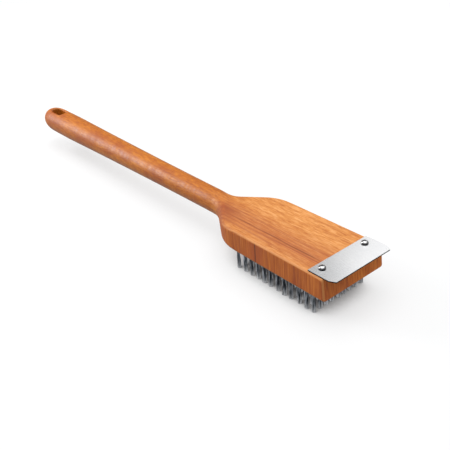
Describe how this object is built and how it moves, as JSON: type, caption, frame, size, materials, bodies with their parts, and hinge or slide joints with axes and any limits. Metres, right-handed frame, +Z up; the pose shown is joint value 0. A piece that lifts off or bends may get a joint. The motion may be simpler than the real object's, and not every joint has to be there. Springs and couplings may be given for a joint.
{
  "type": "wire brush",
  "caption": "Long-handled wooden wire brush with a flat rectangular head, steel wire tufts below and a flat steel scraper screwed across its front edge; hanging slot in the handle.",
  "frame": {"origin": "on the floor under the middle of the brush's length and width, with the brush level on its bristle tips", "axes": "+X along the brush from the hanging end of the handle to the scraper, +Z up out of the head's top, +Y to the left when looking towards the scraper"},
  "size_m": [0.5376, 0.07, 0.0477],
  "materials": {
    "wood": "reddish-orange hardwood with a satin clear finish",
    "scraper_steel": "rolled stainless sheet, satin",
    "screw_steel": "polished nickel-plated steel",
    "wire": "tempered steel wire",
    "staple_wire": "flattened galvanised wire"
  },
  "bodies": {
    "root": {"wood_block": "wood", "scraper_plate": "scraper_steel", "scraper_screws": "screw_steel", "bristle_row_01": "wire", "bristle_row_02": "wire", "bristle_row_03": "wire", "bristle_row_04": "wire", "bristle_row_05": "wire", "bristle_row_06": "wire", "bristle_row_07": "wire", "bristle_row_08": "wire", "bristle_row_09": "wire", "bristle_row_10": "wire", "bristle_row_11": "wire", "bristle_row_12": "wire", "staple_row_01": "staple_wire", "staple_row_02": "staple_wire", "staple_row_03": "staple_wire", "staple_row_04": "staple_wire", "staple_row_05": "staple_wire", "staple_row_06": "staple_wire", "staple_row_07": "staple_wire", "staple_row_08": "staple_wire", "staple_row_09": "staple_wire", "staple_row_10": "staple_wire", "staple_row_11": "staple_wire", "staple_row_12": "staple_wire"}
  },
  "joints": []
}
